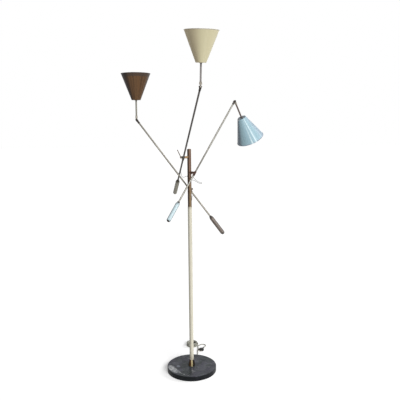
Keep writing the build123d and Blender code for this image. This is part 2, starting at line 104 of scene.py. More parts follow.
def head_frame(azimuth, height, tilt, shade_tilt):
    arm = arm_frame(azimuth, height, tilt)
    return tilted(arm @ Vector((0, 0, ARM_UP)), azimuth, shade_tilt)


ARM_FRAMES = {name: arm_frame(*values[:3]) for name, values in ARMS.items()}
HEAD_FRAMES = {name: head_frame(*values) for name, values in ARMS.items()}
for name in ARMS:
    print(name, "knuckle at", [round(v, 3) for v in HEAD_FRAMES[name].translation])

# %% [markdown]
# ## The mains lead
# A thin limp lead leaves the foot at the back, lies on the floor in a loose bend, and is put away
# there in a small coil with its plug beside it. The stem hides most of it in the photograph. The
# whole lead follows one smooth curve. The coil's turns are points of the same curve, twelve to a
# turn, on a circle a little larger than the turn, because such a curve runs inside its points.

# %% Route of the lead
LEAD_R = 0.003
BASE_R, BASE_TOP = 0.152, 0.031
LEAD_AZIMUTH, LEAD_START, LEAD_Z = 80, 0.174, 0.006
COIL_CENTRE, COIL_R, COIL_PITCH = Vector((0.004, 0.352, 0)), 0.039, 0.0067
COIL_LAYERS, TURNS_PER_LAYER, COIL_TURNS = 4, 2, 7.75
POINTS_PER_TURN, OUTSIDE = 12, 1 / 0.966
PLUG_PLACE, PLUG_AZIMUTH, STRAIGHT = Vector((0.081, 0.299, 0.0075)), 240.6, 0.016
TO_COIL = [(.039, .206, .0032), (.0415, .232, .003), (.0385, .259, .003), (.0445, .287, .003),
           (.043, .317, .003)]
OFF_COIL = [Vector((.006, 0, 0)), Vector((.022, 0, -.0003))]
TO_PLUG = [(.042, .318, .017), (.051, .331, .008), (.054, .348, .003), (.066, .3625, .003),
           (.084, .3635, .003), (.097, .351, .003), (.0975, .332, .0035)]


def coil_point(turns):
    """In and out again, up one layer at each reversal."""
    layer = turns / TURNS_PER_LAYER
    inwards = layer % 2 if layer % 2 < 1 else 2 - layer % 2
    radius = (COIL_R - COIL_PITCH * TURNS_PER_LAYER * inwards) * OUTSIDE
    nearest = round(layer)
    reversal = (turns - nearest * TURNS_PER_LAYER) / 0.5
    climbed = nearest - 0.5 + max(-0.5, min(0.5, reversal))
    climbed = max(0, min(COIL_LAYERS - 1, climbed))
    angle = 2 * pi * turns
    return COIL_CENTRE + Vector((radius * cos(angle), radius * sin(angle), LEAD_R + COIL_PITCH * climbed))


def lead_route():
    """Out of the foot, to the coil, round it, and on to the plug."""
    out = radial(LEAD_AZIMUTH)
    leave = out * LEAD_START + UP * LEAD_Z
    last_point = int(COIL_TURNS * POINTS_PER_TURN)
    turns = [coil_point(i / POINTS_PER_TURN) for i in range(last_point + 1)]
    off_coil = [turns[-1] + step for step in OFF_COIL]
    before_plug = PLUG_PLACE - radial(PLUG_AZIMUTH) * STRAIGHT
    return [leave, leave + out * STRAIGHT, *TO_COIL, *turns, *off_coil, *TO_PLUG, before_plug, PLUG_PLACE]


# %% A smooth curve through a route
def smooth_curve(name, points):
    data = bpy.data.curves.new(name, "CURVE")
    data.dimensions = "3D"
    data.resolution_u = 8
    spline = data.splines.new("NURBS")
    spline.points.add(len(points) - 1)
    for spot, point in zip(spline.points, points):
        spot.co = (*point, 1)
    spline.order_u = 3
    spline.use_endpoint_u = True
    curve = bpy.data.objects.new(name, data)
    bpy.context.scene.collection.objects.link(curve)
    return curve


def line_of(points):
    """The points that a smooth curve passes through."""
    curve = smooth_curve("bare_line", points)
    mesh = bpy.data.meshes.new_from_object(curve)
    line = [v.co.copy() for v in mesh.vertices]
    bpy.data.meshes.remove(mesh)
    bpy.data.curves.remove(curve.data)
    return line


def length_of(line):
    return sum((b - a).length for a, b in zip(line, line[1:]))


lead_line = line_of(lead_route())
print("lead", len(lead_line), "points,", round(length_of(lead_line), 3), "m")

# %% [markdown]
# A curve could be given a thickness of its own, but a mesh says exactly how large it is and can be
# bent when a joint moves. So a ring of points is carried along the smooth line, turning as little as
# it can on the way, and the lead and the three thin wires between the stem and the arms are all
# made like this.

# %% Tube along a line
def object_from(name, mesh_maker):
    mesh = bpy.data.meshes.new(name)
    mesh_maker.to_mesh(mesh)
    mesh_maker.free()
    piece = bpy.data.objects.new(name, mesh)
    bpy.context.scene.collection.objects.link(piece)
    return piece


def tube_along(name, line, thickness, sides=14):
    """A closed round tube whose rings turn as little as they can from one to the next."""
    maker = bmesh.new()
    side, rings = line[1].cross(line[0]).normalized(), []
    for i, point in enumerate(line):
        ahead = (line[min(i + 1, len(line) - 1)] - line[max(i - 1, 0)]).normalized()
        side = (side - ahead * side.dot(ahead)).normalized()
        other = ahead.cross(side)
        angles = [2 * pi * k / sides for k in range(sides)]
        rings.append([maker.verts.new(point + (side * cos(a) + other * sin(a)) * thickness) for a in angles])
    for low, high in zip(rings, rings[1:]):
        for k in range(sides):
            maker.faces.new((low[k], low[(k + 1) % sides], high[(k + 1) % sides], high[k])).smooth = True
    maker.faces.new(rings[0][::-1])
    maker.faces.new(rings[-1])
    return object_from(name, maker)


lead = tube_along("mains_lead", lead_line, LEAD_R)
print("lead with", len(lead.data.polygons), "faces")

# %% Wires from the stem to the arms
WIRE_R, BUSH_FACE, WIRE_STRAIGHT, WIRE_END = 0.0012, 0.0132, 0.0095, 0.0048
# Azimuth and height where each wire leaves the stem
BUSHES = {"upper": (165, 1.217), "middle": (-8, 1.194), "lower": (62, 1.065)}
# Place along the arm, and angle round it, where each wire goes in
WIRE_ENTRY = {"upper": (-0.103, 90), "middle": (-0.023, 90), "lower": (-0.036, 110)}
WIRE_ROUTES = {
    "upper": [(-.031, .010, 1.210), (-.041, .020, 1.209), (-.0475, .031, 1.220), (-.0495, .039, 1.230)],
    "middle": [(.033, -.003, 1.189), (.047, -.004, 1.180), (.061, -.008, 1.173), (.073, -.015, 1.174),
               (.072, -.026, 1.181), (.057, -.031, 1.184), (.042, -.029, 1.193)],
    "lower": [(.0133, .0264, 1.0729), (.0133, .0294, 1.0828)],
}


def wire_route(name):
    azimuth, height = BUSHES[name]
    start = radial(azimuth) * BUSH_FACE + UP * height
    along, angle = WIRE_ENTRY[name]
    arm = ARM_FRAMES[name]
    towards = (arm.to_3x3() @ radial(angle)).normalized()
    end = arm @ Vector((0, 0, along)) + towards * WIRE_END
    middle = [Vector(p) for p in WIRE_ROUTES[name]]
    return [start, start + radial(azimuth) * WIRE_STRAIGHT, *middle, end + towards * WIRE_STRAIGHT, end]


wires, wire_lines = {}, {}
for name in ARMS:
    wire_lines[name] = line_of(wire_route(name))
    wires[name] = tube_along(f"arm_wire_{name}", wire_lines[name], WIRE_R)
    print("wire", name, round(length_of(wire_lines[name]) * 1000, 1), "mm")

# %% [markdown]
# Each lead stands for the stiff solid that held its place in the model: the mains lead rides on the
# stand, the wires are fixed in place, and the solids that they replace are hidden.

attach(lead, "stand")
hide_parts("mains_cord", "cord_coil")
for name, wire in wires.items():
    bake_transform(wire)
    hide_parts(f"jumper_wire_{name}")
print("declared", len(wires) + 1, "leads")

# %% [markdown]
# ## Turned and knurled pieces
# Small brass pieces on such a lamp are turned on a lathe. A lathe part is one outline swept round
# an axis, so one helper makes them all. A knurl is a band where the outline moves in and out as it
# goes round: that needs real geometry, since a bump alone would leave the silhouette smooth.

# %% Lathe
def lathe(name, outline, place, sides=48, shaped=None):
    """Turns (radius, height) points round Z; shaped(angle, radius, height) may change a radius."""
    maker = bmesh.new()
    rings = []
    for radius, height in outline:
        if radius == 0:
            rings.append([maker.verts.new((0, 0, height))])
            continue
        ring = []
        for k in range(sides):
            angle = 2 * pi * k / sides
            r = shaped(angle, radius, height) if shaped else radius
            ring.append(maker.verts.new((r * cos(angle), r * sin(angle), height)))
        rings.append(ring)
    for low, high in zip(rings, rings[1:]):
        for k in range(sides):
            n = (k + 1) % sides
            corners = [low[k % len(low)], low[n % len(low)], high[n % len(high)], high[k % len(high)]]
            maker.faces.new(list(dict.fromkeys(corners)))
    bmesh.ops.recalc_face_normals(maker, faces=maker.faces)
    maker.transform(place)
    return object_from(name, maker)


def shade_smooth(piece, sharp_above=35):
    """Smooth faces with the turned corners left sharp."""
    maker = bmesh.new()
    maker.from_mesh(piece.data)
    for face in maker.faces:
        face.smooth = True
    for edge in maker.edges:
        edge.smooth = len(edge.link_faces) == 2 and edge.calc_face_angle(pi) < radians(sharp_above)
    maker.to_mesh(piece.data)
    maker.free()
    return piece


def knurl(low, high, depth, teeth):
    """A straight knurl between two heights."""
    def shaped(angle, radius, height):
        return radius - depth * (0.5 + 0.5 * cos(angle * teeth)) if low <= height <= high else radius
    return shaped


# %% Cut with a block
def cut_box(piece, place, size):
    """Takes a box out of a piece for good."""
    maker = bmesh.new()
    bmesh.ops.create_cube(maker, size=1, matrix=place @ Matrix.Diagonal((*size, 1)))
    cutter = object_from("cutter", maker)
    modifier = piece.modifiers.new("slot", "BOOLEAN")
    modifier.object = cutter
    modifier.operation = "DIFFERENCE"
    modifier.solver = "EXACT"
    bpy.context.view_layer.update()
    cut = bpy.data.meshes.new_from_object(piece.evaluated_get(bpy.context.evaluated_depsgraph_get()))
    piece.modifiers.clear()
    piece.data = cut
    cutter_mesh = cutter.data
    bpy.data.objects.remove(cutter)
    bpy.data.meshes.remove(cutter_mesh)
    return piece


# %% [markdown]
# Each weight is held by a collar above it and a closed nut below, both with a straight knurl so
# that fingers can turn them. The nut's end is slightly domed. These stand for the plain rings of
# the solid model and keep their places and sizes.

# %% Collars and end nuts of the weights
MM = 0.001
WEIGHT_TOP, NUT_END = -205, -330
TUBE_HOLE, GRIP_R = 5.05, 8.4
COLLAR_HIGH, NUT_HIGH, NUT_WALL = 9, 7, 3
KNURL_TEETH, KNURL_SIDES = 30, 180
GRIP_SLOT = 0.45 * MM, 0.4 * MM


def on_arm(outline):
    return [(r * MM, z * MM) for r, z in outline]


def collar_outline():
    """A knurled grip, a groove, and a taper up to the tube, with the tube's hole through it."""
    low = WEIGHT_TOP
    grip = [(GRIP_R, low + 0.6 + 0.55 * i) for i in range(7)]
    upper = [(7.7, low + 4.6), (7.7, low + 5.2), (8.2, low + 5.6), (6.8, low + 8.6), (6.4, low + COLLAR_HIGH)]
    hole = [(TUBE_HOLE, low + COLLAR_HIGH), (TUBE_HOLE, low)]
    return on_arm([(TUBE_HOLE, low), (7.9, low), *grip, *upper, *hole])


def nut_outline():
    """A slightly domed end and a knurled grip, hollow for the end of the tube."""
    end = NUT_END
    dome = [(0, end), (2.4, end + 0.15), (4.6, end + 0.7), (6.6, end + 1.3), (7.8, end + 1.9)]
    grip = [(GRIP_R, end + 2.2 + 0.7 * i) for i in range(6)]
    upper = [(8.0, end + 6.2), (8.0, end + NUT_HIGH)]
    hollow = [(TUBE_HOLE, end + NUT_HIGH), (TUBE_HOLE, end + NUT_WALL), (0, end + NUT_WALL)]
    return on_arm([*dome, *grip, *upper, *hollow])


collars, end_nuts = {}, {}
for name, place in ARM_FRAMES.items():
    collar_knurl = knurl((WEIGHT_TOP + 0.5) * MM, (WEIGHT_TOP + 4.2) * MM, GRIP_SLOT[0], KNURL_TEETH)
    nut_knurl = knurl((NUT_END + 2.1) * MM, (NUT_END + 5.8) * MM, GRIP_SLOT[1], KNURL_TEETH)
    collars[name] = lathe(f"weight_grip_{name}", collar_outline(), place, KNURL_SIDES, collar_knurl)
    end_nuts[name] = lathe(f"weight_cap_{name}", nut_outline(), place, KNURL_SIDES, nut_knurl)
    for piece, node in ((collars[name], "weight_collar"), (end_nuts[name], "weight_nut")):
        shade_smooth(piece)
        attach(piece, f"arm_{name}")
        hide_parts(f"{node}_{name}")
print("knurled", len(collars) + len(end_nuts), "rings,", len(collars["upper"].data.polygons), "faces each")

# %% [markdown]
# A screw through each knuckle sets how stiffly the shade turns. It has a domed head with a slot on
# one side and a round knurled nut on the other. The slot is cut out with a box, as a saw would.

# %% Knuckle screws
SCREW_R, KNUCKLE_FACE = 1.98, 4.85
NUT_TEETH, NUT_SIDES = 24, 96
SLOT_SIZE, SLOT_DEEP = (9 * MM, 0.9 * MM, 1.6 * MM), -7.4 * MM
SLOT_TURNS = {"upper": 20, "middle": 65, "lower": -30}


def screw_outline():
    """A domed head, a plain shank and a nut with a rounded tip."""
    face = KNUCKLE_FACE
    head = [(0, -7.6), (1.6, -7.5), (2.6, -7.2), (3.3, -6.6), (3.6, -6.0), (3.6, -face)]
    shank = [(SCREW_R, -face), (SCREW_R, face)]
    grip = [(4.6, face + 0.5 + 0.5 * i) for i in range(7)]
    tip = [(4.1, 8.8), (2.2, 8.9), (2.0, 9.3), (1.4, 9.5), (0, 9.5)]
    return on_arm([*head, *shank, (4.2, face), *grip, *tip])


screws = {}
for name, place in ARM_FRAMES.items():
    across = place @ Matrix.Translation((0, 0, ARM_UP)) @ Matrix.Rotation(pi / 2, 4, "Y")
    grooves = knurl((KNUCKLE_FACE + 0.4) * MM, (KNUCKLE_FACE + 3.6) * MM, 0.35 * MM, NUT_TEETH)
    screw = lathe(f"knuckle_bolt_{name}", screw_outline(), across, NUT_SIDES, grooves)
    turn = Matrix.Rotation(radians(SLOT_TURNS[name]), 4, "Z")
    cut_box(screw, across @ turn @ Matrix.Translation((0, 0, SLOT_DEEP)), SLOT_SIZE)
    shade_smooth(screw)
    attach(screw, f"arm_{name}")
    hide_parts(f"knuckle_screw_{name}")
    screws[name] = screw
print("screws", len(screws), "with", len(screws["upper"].data.polygons), "faces each")

# %% [markdown]
# The plug and the lead's exit are moulded rubber and plastic. Raised rings on their tapered ends let
# the lead bend without kinking, and the plug has a raised rim round its grip. They are thin rings laid
# over the solids, swept like the wires.

# %% Rings on the lead's two ends
def ring_line(place, wide, high, corner, steps=8):
    """A closed rounded rectangle in the frame's X and Y."""
    line = []
    for cx, cy, first in ((1, 1, 0), (-1, 1, 90), (-1, -1, 180), (1, -1, 270)):
        for i in range(steps + 1):
            a = radians(first + 90 * i / steps)
            x = cx * (wide / 2 - corner) + corner * cos(a)
            y = cy * (high / 2 - corner) + corner * sin(a)
            line.append(place @ Vector((x, y, 0)))
    return line


def band(name, line, thickness, sides=10):
    """A closed ring of round section along a closed line."""
    maker = bmesh.new()
    count = len(line)
    middle = sum(line, Vector()) / count
    normal = (line[0] - middle).cross(line[count // 4] - middle).normalized()
    angles = [2 * pi * k / sides for k in range(sides)]
    rings = []
    for i, point in enumerate(line):
        ahead = (line[(i + 1) % count] - line[i - 1]).normalized()
        side = ahead.cross(normal).normalized()
        rings.append([maker.verts.new(point + (side * cos(a) + normal * sin(a)) * thickness) for a in angles])
    for i in range(count):
        low, high = rings[i], rings[(i + 1) % count]
        for k in range(sides):
            maker.faces.new((low[k], low[(k + 1) % sides], high[(k + 1) % sides], high[k])).smooth = True
    bmesh.ops.recalc_face_normals(maker, faces=maker.faces)
    return object_from(name, maker)


def joined(name, pieces):
    """One object from several meshes."""
    maker = bmesh.new()
    for piece in pieces:
        maker.from_mesh(piece.data)
        mesh = piece.data
        bpy.data.objects.remove(piece)
        bpy.data.meshes.remove(mesh)
    return object_from(name, maker)


def along(origin, direction):
    """A frame with Z along a direction in the floor's plane and X up."""
    z = direction.normalized()
    return Matrix.Translation(origin) @ Matrix((UP, z.cross(UP), z)).transposed().to_4x4()


def ribs(name, place, sections, thickness):
    """Raised rings in millimetres: each a height along the place's Z, a width, a depth and a corner."""
    rings = []
    for z, wide, high, corner in sections:
        line = ring_line(place @ Matrix.Translation((0, 0, z * MM)), wide * MM, high * MM, corner * MM)
        rings.append(band("ring", line, thickness * MM))
    return joined(name, rings)


def round_sections(*heights_and_radii):
    """Sections for round rings, whose corners take up all but a trace of the sides."""
    return [(z, 2 * r, 2 * r, r * 0.999) for z, r in heights_and_radii]


GRIP_WIDE, GRIP_CORNER = 14.7, 6
plug_place = along(PLUG_PLACE, radial(PLUG_AZIMUTH))
plug_rings = ribs("plug_relief_rings", plug_place, round_sections((2.2, 3.95), (4.8, 4.15), (7.4, 4.4)), 0.55)
grip_sections = [(z, GRIP_WIDE, high, GRIP_CORNER) for z, high in ((29, 33.6), (32, 33.9), (35, 34.3))]
plug_grip = ribs("plug_grip_rings", plug_place, grip_sections, 0.45)
gland_place = along(radial(LEAD_AZIMUTH) * BASE_R + UP * LEAD_Z, radial(LEAD_AZIMUTH))
gland_sections = round_sections((9, 4.25), (12, 4.15), (15, 4.05), (18, 3.95))
gland_rings = ribs("gland_rings", gland_place, gland_sections, 0.45)
for piece in (plug_rings, plug_grip, gland_rings):
    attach(piece, "stand")
print("rings on the plug and the foot's exit")

# %% [markdown]
# ## Finishes
# Nothing here is one flat colour. A finish is a small graph of nodes that works out colour, roughness
# and relief from a place on the object. Written as sums on a wrapped socket, such a graph reads like
# arithmetic: `1 - mask` adds the node that subtracts. All other nodes come from one method.

# %% A socket that can be used in sums
class Value:
    """One output socket of a finish's graph."""

    def __init__(self, finish, socket):
        self.finish, self.socket = finish, socket

    def sum(self, operation, first, second):
        return self.finish.add("Math", {"operation": operation}, {0: first, 1: second})

    def __add__(self, other):
        return self.sum("ADD", self, other)

    def __sub__(self, other):
        return self.sum("SUBTRACT", self, other)

    def __rsub__(self, other):
        return self.sum("SUBTRACT", other, self)

    def __mul__(self, other):
        return self.sum("MULTIPLY", self, other)

    def __truediv__(self, other):
        return self.sum("DIVIDE", self, other)

    def __rtruediv__(self, other):
        return self.sum("DIVIDE", other, self)

    def __pow__(self, other):
        return self.sum("POWER", self, other)

    __radd__ = __add__
    __rmul__ = __mul__


# %% A finish and its nodes
class Graph:
    """The nodes of a material or of the surround."""

    def __init__(self, tree):
        self.tree = tree

    def add(self, kind, settings, values, output=0):
        """Adds a node of a kind: its settings first, then the values or links of its sockets."""
        node = self.tree.nodes.new("ShaderNode" + kind)
        for setting, choice in settings.items():
            if setting == "stops":
                self.set_stops(node.color_ramp, choice)
            else:
                setattr(node, setting, choice)
        for socket, value in values.items():
            self.feed(node.inputs[socket], value)
        return Value(self, node.outputs[output])

    def set_stops(self, ramp, stops):
        while len(ramp.elements) < len(stops):
            ramp.elements.new(0.5)
        for element, (position, colour) in zip(ramp.elements, stops):
            element.position, element.color = position, (*colour, 1)

    def feed(self, socket, value):
        if isinstance(value, Value):
            self.tree.links.new(value.socket, socket)
        elif isinstance(value, tuple) and socket.type == "RGBA":
            socket.default_value = (*value, 1)
        else:
            socket.default_value = value

    def seen(self):
        """1 for what the camera sees, straight on or by reflection, and 0 for light on the lamp."""
        kinds = "Camera", "Glossy", "Transmission"
        return sum(self.add("LightPath", {}, {}, f"Is {kind} Ray") for kind in kinds)


class Finish(Graph):
    """One material: its nodes, and the shader that they feed."""

    def __init__(self, name, **shader):
        self.material = bpy.data.materials.new(name)
        self.material.use_nodes = True
        super().__init__(self.material.node_tree)
        self.shader = self.tree.nodes["Principled BSDF"]
        self.place = self.add("TexCoord", {}, {}, "Object")
        for socket, amount in shader.items():
            self.shader.inputs[socket.replace("_", " ")].default_value = amount

    def coordinates(self):
        return [self.add("SeparateXYZ", {}, {0: self.place}, i) for i in range(3)]

    def wears(self, **sockets):
        """Feeds the shader's own sockets."""
        for socket, value in sockets.items():
            self.feed(self.shader.inputs[socket.replace("_", " ")], value)
        return self


# %% Shapes of variation
def between(value, low, high, first=0.0, last=1.0):
    """Runs smoothly from first to last as the value goes from low to high."""
    sockets = {0: value, 1: low, 2: high, 3: first, 4: last}
    return value.finish.add("MapRange", {"interpolation_type": "SMOOTHSTEP"}, sockets)


def noise(place, scale, detail=3.0, rough=0.5, bent=0.0):
    sockets = {"Vector": place, "Scale": scale, "Detail": detail, "Roughness": rough, "Distortion": bent}
    return place.finish.add("TexNoise", {}, sockets)


def cells(place, scale):
    """Distance to the nearest of many scattered points, in cells."""
    return place.finish.add("TexVoronoi", {}, {"Vector": place, "Scale": scale}, "Distance")


def worn_spots(place, scale, inner, outer, patches, low, high):
    """Small round chips, only where a broader noise passes from low to high."""
    return between(cells(place, scale), inner, outer, 1.0, 0.0) * between(patches, low, high)


def mix(factor, first, second):
    """One colour over another."""
    finish = factor.finish
    return finish.add("Mix", {"data_type": "RGBA"}, {0: factor, 6: first, 7: second}, 2)


def ramp(value, *stops):
    return value.finish.add("ValToRGB", {"stops": stops}, {0: value})


def stretched(place, x, y, z):
    return place.finish.add("VectorMath", {"operation": "MULTIPLY"}, {0: place, 1: (x, y, z)})


def vector(x, y, z):
    return x.finish.add("CombineXYZ", {}, {0: x, 1: y, 2: z})


def along_axis(z):
    """A place that changes only along an axis."""
    return z.finish.add("CombineXYZ", {}, {2: z})


HAIR_MARKS, FINE_MARKS, BRUSH_MARKS, COARSE_MARKS = 0.00003, 0.00004, 0.00005, 0.0001


def relief(height, depth):
    """Bump of a depth in metres from a height between 0 and 1."""
    return height.finish.add("Bump", {}, {"Strength": 1.0, "Distance": depth, "Height": height}, "Normal")


def own_axes(finish, place):
    """Coordinates of a point in an arm's or a head's own frame."""
    sockets = {0: finish.place, 1: tuple(place.translation)}
    moved = finish.add("VectorMath", {"operation": "SUBTRACT"}, sockets)
    return [finish.add("VectorMath", {"operation": "DOT_PRODUCT"}, {0: moved, 1: tuple(axis)}, "Value")
            for axis in place.to_3x3().transposed()]


def around(x, y, z, per_turn, per_metre):
    """A place for streaks that run along an axis: direction round it, and a little of the height."""
    radius = (x * x + y * y) ** 0.5
    return vector(x / radius * per_turn, y / radius * per_turn, z * per_metre)


def facing(x, y, azimuth, narrow, wide):
    """1 where the direction from an axis is within narrow degrees of an azimuth, 0 beyond wide."""
    radius = (x * x + y * y) ** 0.5
    ahead = (x * cos(radians(azimuth)) + y * sin(radians(azimuth))) / radius
    return between(ahead, cos(radians(wide)), cos(radians(narrow)))


def beside(x, y, azimuth, narrow, wide):
    """0 on the front and the back of an axis, 1 on the two sides between them."""
    return 1 - facing(x, y, azimuth, narrow, wide) - facing(x, y, azimuth + 180, narrow, wide)


print("finish helpers ready")

# %% [markdown]
# The foot is a disc of polished dark stone. Real marble is cloudy at one scale, grained at another,
# and crossed by veins where cracks healed with pale mineral. The clouds are two soft noises. A vein is
# the thin line where a noise passes its middle value. The large pale patch at the rim, the veins that
# trail from it and two smaller spots are placed where the photograph shows them.

# %% Veins and spots
def bent_line(finish, x, y, start, end, width, sway):
    """A thin line between two points of the disc's top, bent by a noise."""
    ahead = (Vector(end) - Vector(start)).normalized()
    reach = (Vector(end) - Vector(start)).length
    run = (x - start[0]) * ahead.x + (y - start[1]) * ahead.y
    off = (y - start[1]) * ahead.x - (x - start[0]) * ahead.y + sway
    away = finish.add("Math", {"operation": "ABSOLUTE"}, {0: off})
    begun, ended = between(run, -0.004, 0.006), between(run, reach - 0.03, reach, 1.0, 0.0)
    return between(away, width * 0.2, width, 1.0, 0.0) * begun * ended


def spot(x, y, middle, along, length, width, wobble):
    """1 inside an oval on the disc's top, with a ragged edge."""
    turn = radians(along)
    run = (x - middle[0]) * cos(turn) + (y - middle[1]) * sin(turn)
    off = (y - middle[1]) * cos(turn) - (x - middle[0]) * sin(turn)
    return between(((run / length) ** 2 + (off / width) ** 2) ** 0.5 + wobble, 0.72, 1.02, 1.0, 0.0)


# %% Marble
# Start, end, width, share of the sway and strength of each vein, and of one painted reflection
VEINS_AND_REFLECTION = [
    ((-0.090, -0.068), (-0.052, -0.120), 0.007, 1.0, 1.0),
    ((-0.055, -0.115), (-0.005, -0.146), 0.006, 1.0, 0.8),
    # painted reflection: a short pale line in front of the stem, the ferrule's highlight mirrored in the top
    ((0.002, -0.050), (0.008, -0.112), 0.004, 0.5, 0.7),
]
CLOUD_STOPS = (0.33, (0.016, 0.019, 0.022)), (0.5, (0.046, 0.051, 0.060)), (0.66, (0.098, 0.103, 0.122))
VIOLET, GREENISH, GRAIN_GREY = (0.068, 0.062, 0.094), (0.050, 0.062, 0.055), (0.17, 0.175, 0.19)
VEIN_AND_REFLECTION_GREY, BLUISH_SPOT, GREY_SPOT = (0.34, 0.345, 0.355), (0.26, 0.29, 0.34), (0.24, 0.24, 0.25)
PATCH_DARK, PATCH_PALE, RIM_BLACK = (0.19, 0.20, 0.215), (0.55, 0.56, 0.575), (0.004, 0.005, 0.006)
RIM_WIDE = 0.0035


def dark_stone(stone):
    """The stone itself: clouds, two tints, grain and hair cracks."""
    place = stone.place
    tint, grain = noise(place, 24, 3, 0.5, 1.2), noise(place, 300, 3, 0.7)
    colour = ramp(noise(place, 19, 6, 0.66, 0.8), *CLOUD_STOPS)
    colour = mix(between(tint, 0.52, 0.66) * 0.55, colour, VIOLET)
    colour = mix(between(tint, 0.36, 0.48, 1.0, 0.0) * 0.5, colour, GREENISH)
    colour = mix(between(grain, 0.55, 0.72) * 0.5, colour, GRAIN_GREY)
    crack = stone.add("Math", {"operation": "ABSOLUTE"}, {0: noise(place, 9, 5, 0.55, 1.1) - 0.5})
    thin = between(crack, 0.0, 0.011, 1.0, 0.0) * between(noise(place, 22, 2), 0.47, 0.6)
    return mix(thin * 0.45, colour, (0.22, 0.225, 0.24))


def marble():
    stone = Finish("polished_marble", Specular_IOR_Level=0.08)
    place = stone.place
    x, y, z = stone.coordinates()
    colour = dark_stone(stone)
    wobble = (noise(place, 60, 4, 0.6) - 0.5) * 1.1
    sway = (noise(place, 34, 4, 0.6) - 0.5) * 0.024
    trails = sum(bent_line(stone, x, y, start, end, width, sway * share) * strength
                 for start, end, width, share, strength in VEINS_AND_REFLECTION)
    flecks = between(noise(place, 120, 3, 0.6), 0.42, 0.58)
    veins_and_reflection = stone.add("Math", {"operation": "MINIMUM"}, {0: trails * flecks * 1.3, 1: 0.9})
    colour = mix(veins_and_reflection, colour, VEIN_AND_REFLECTION_GREY)
    left_spot = spot(x, y, (-0.083, -0.014), 20, 0.013, 0.017, wobble * 0.6)
    front_spot = spot(x, y, (0.010, -0.080), -40, 0.019, 0.008, wobble)
    colour = mix(left_spot * 0.6, colour, BLUISH_SPOT)
    colour = mix(front_spot * 0.5, colour, GREY_SPOT)
    patch = spot(x, y, (-0.116, -0.050), -61, 0.064, 0.0225, wobble * 0.6)
    inside = mix(between(noise(place, 85, 5, 0.65), 0.40, 0.60), PATCH_DARK, PATCH_PALE)
    colour = mix(patch * 0.95, colour, inside)
    # the rounded edge and side go near black: partly the stone's own colour, partly painted shade
    rim = between((x * x + y * y) ** 0.5, BASE_R - RIM_WIDE, BASE_R - 0.0008)
    colour = mix(rim * between(z, BASE_TOP - 0.0002, BASE_TOP - 0.0011) * 0.9, colour, RIM_BLACK)
    polish = 0.18 + between(noise(place, 45, 3), 0.35, 0.7) * 0.12 + rim * 0.12
    grained = relief(noise(place, 300, 2), FINE_MARKS)
    return stone.wears(Base_Color=colour, Roughness=polish, Normal=grained).material


print("marble with", len(VEINS_AND_REFLECTION), "veins_and_reflection")

# %% [markdown]
# The lower stem is lacquered ivory. Lacquer on a long tube yellows unevenly, shows fine lengthwise
# marks from polishing, and collects grime where it meets the ferrule and the upper tube. Here the
# streaks are a noise squeezed across the tube and drawn out along it.

# %% Ivory lacquer
# Azimuths that the photograph's left and right edges of the stem face
LEFT, RIGHT = 190, 350
FERRULE_TOP, LACQUER_TOP = 0.069, 1.035


def ivory():
    paint = Finish("ivory_lacquer", Specular_IOR_Level=0.2, Coat_Roughness=0.2)
    place = paint.place
    x, y, z = paint.coordinates()
    streaks = noise(around(x, y, z, 5, 6), 1.0, 4, 0.6)
    colour = mix(between(streaks, 0.35, 0.7), (0.62, 0.59, 0.49), (0.56, 0.525, 0.42))
    # painted shade: a darker strip down the stem's left edge
    colour = mix(facing(x, y, LEFT, 40, 80) * 0.6, colour, (0.31, 0.295, 0.24))
    age = between(noise(stretched(place, 60, 60, 14), 1.0, 4, 0.65), 0.5, 0.72)
    colour = mix(age * 0.3, colour, (0.46, 0.42, 0.32))
    low_grime = between(z, FERRULE_TOP + 0.001, FERRULE_TOP + 0.041, 1.0, 0.0)
    grime = low_grime + between(z, LACQUER_TOP - 0.02, LACQUER_TOP - 0.001)
    colour = mix(grime * between(noise(place, 160, 4, 0.7), 0.3, 0.65) * 0.6, colour, (0.20, 0.16, 0.10))
    chips = worn_spots(stretched(place, 1, 1, 0.5), 210, 0.10, 0.16, noise(place, 30, 2), 0.62, 0.68)
    colour = mix(chips, colour, (0.17, 0.12, 0.07))
    rough = 0.30 + between(streaks, 0.3, 0.7) * 0.14
    skin = relief(noise(place, 700, 2, 0.5) - chips * 1.5, HAIR_MARKS)
    return paint.wears(Base_Color=colour, Roughness=rough, Coat_Weight=0.15 - grime * 0.12,
                       Normal=skin).material


print("lacquer up to", LACQUER_TOP, "m")

# %% [markdown]
# Unlacquered brass darkens from the outside in. Where it's handled it stays golden, elsewhere it turns
# brown, and in corners nearly black. One recipe serves for most of the brass, with other colours and
# another amount of tarnish: bright metal under a brown film that also makes it rougher and less
# metallic. The stem, the brackets and the foot's ferrule have finishes of their own.

